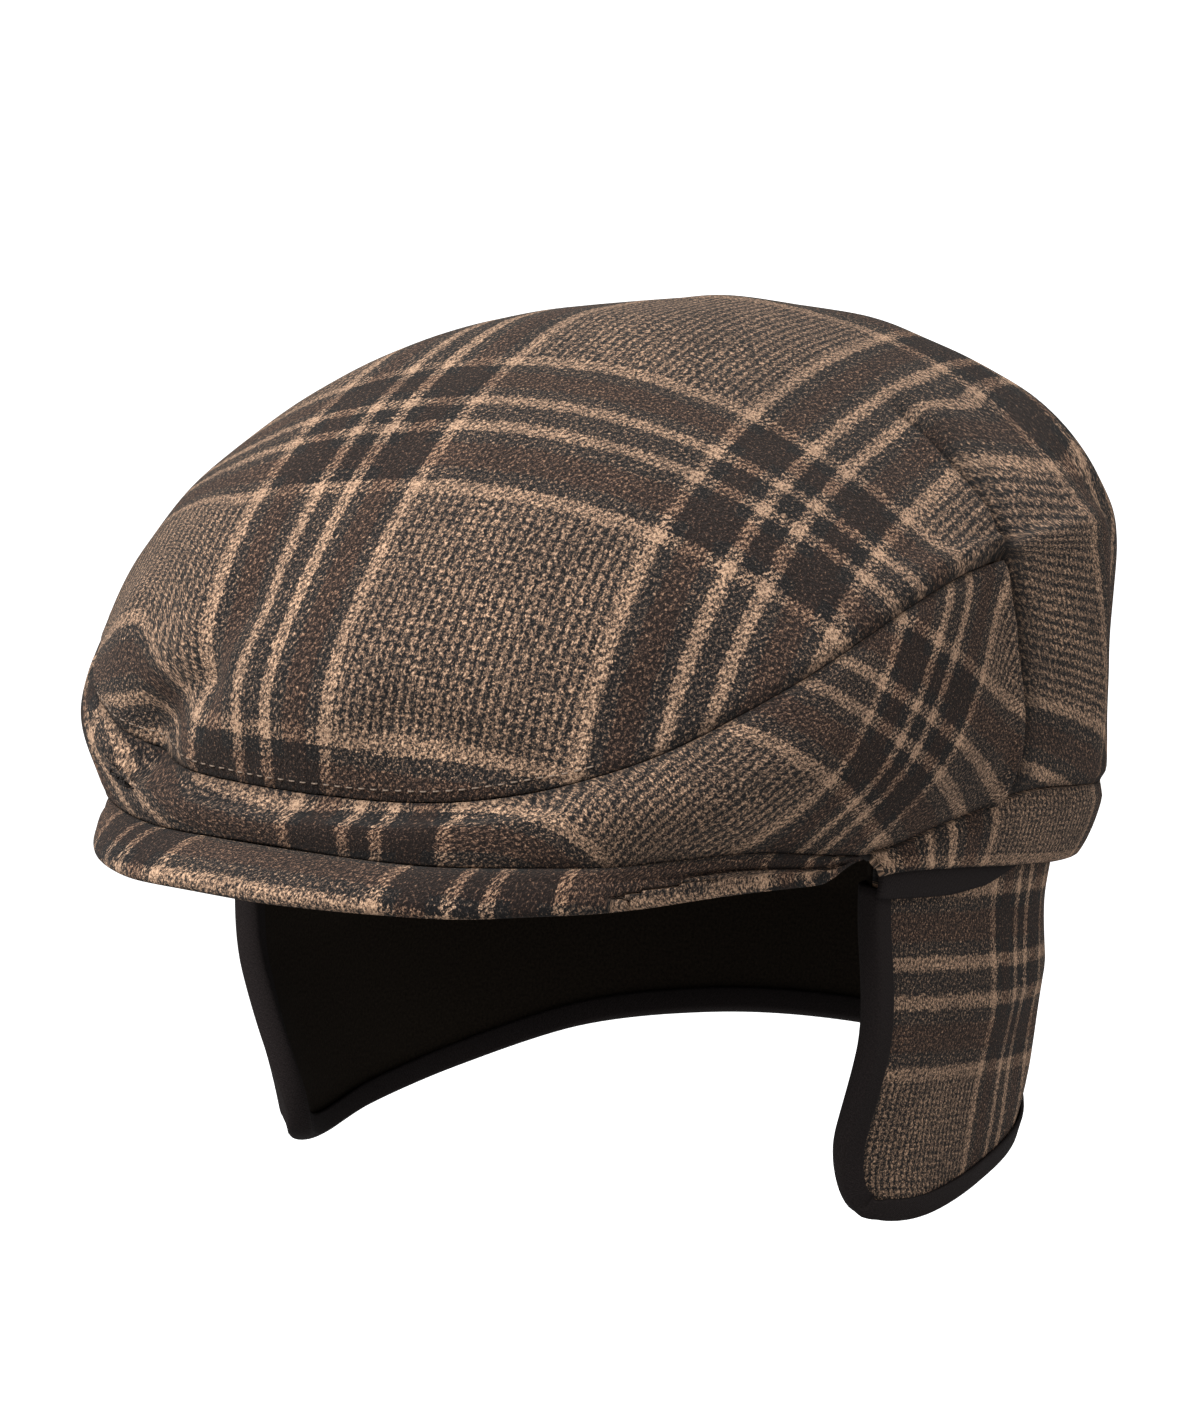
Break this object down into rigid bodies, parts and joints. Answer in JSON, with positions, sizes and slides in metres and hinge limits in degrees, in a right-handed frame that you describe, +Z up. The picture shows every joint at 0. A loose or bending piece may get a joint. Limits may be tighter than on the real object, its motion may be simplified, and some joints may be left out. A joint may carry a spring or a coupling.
{
  "type": "flat cap with ear flaps",
  "caption": "Low plaid wool cap with a short stiff peak, a puffed crown and a lined ear and neck flap folded down round the sides and back.",
  "frame": {"origin": "middle of the head opening, level with the lower edge of the band", "axes": "+Z up out of the crown, -Y towards the peak, +X towards the wearer's left"},
  "size_m": [0.1924, 0.267, 0.1983],
  "materials": {
    "crown_wool": "brushed plaid wool",
    "side_wool": "brushed plaid wool, cut on the bias",
    "band_wool": "brushed plaid wool",
    "peak_wool": "brushed plaid wool over a stiff board",
    "flap_wool": "brushed plaid wool",
    "lining_black": "black fleece",
    "binding_black": "black woven tape",
    "strip_black": "black woven cloth"
  },
  "bodies": {
    "root": {"top_panel": "crown_wool", "side_panel": "side_wool", "back_band": "band_wool", "peak": "peak_wool", "ear_flap": "flap_wool", "flap_lining": "lining_black", "flap_binding": "binding_black", "inner_strip": "strip_black"}
  },
  "joints": []
}
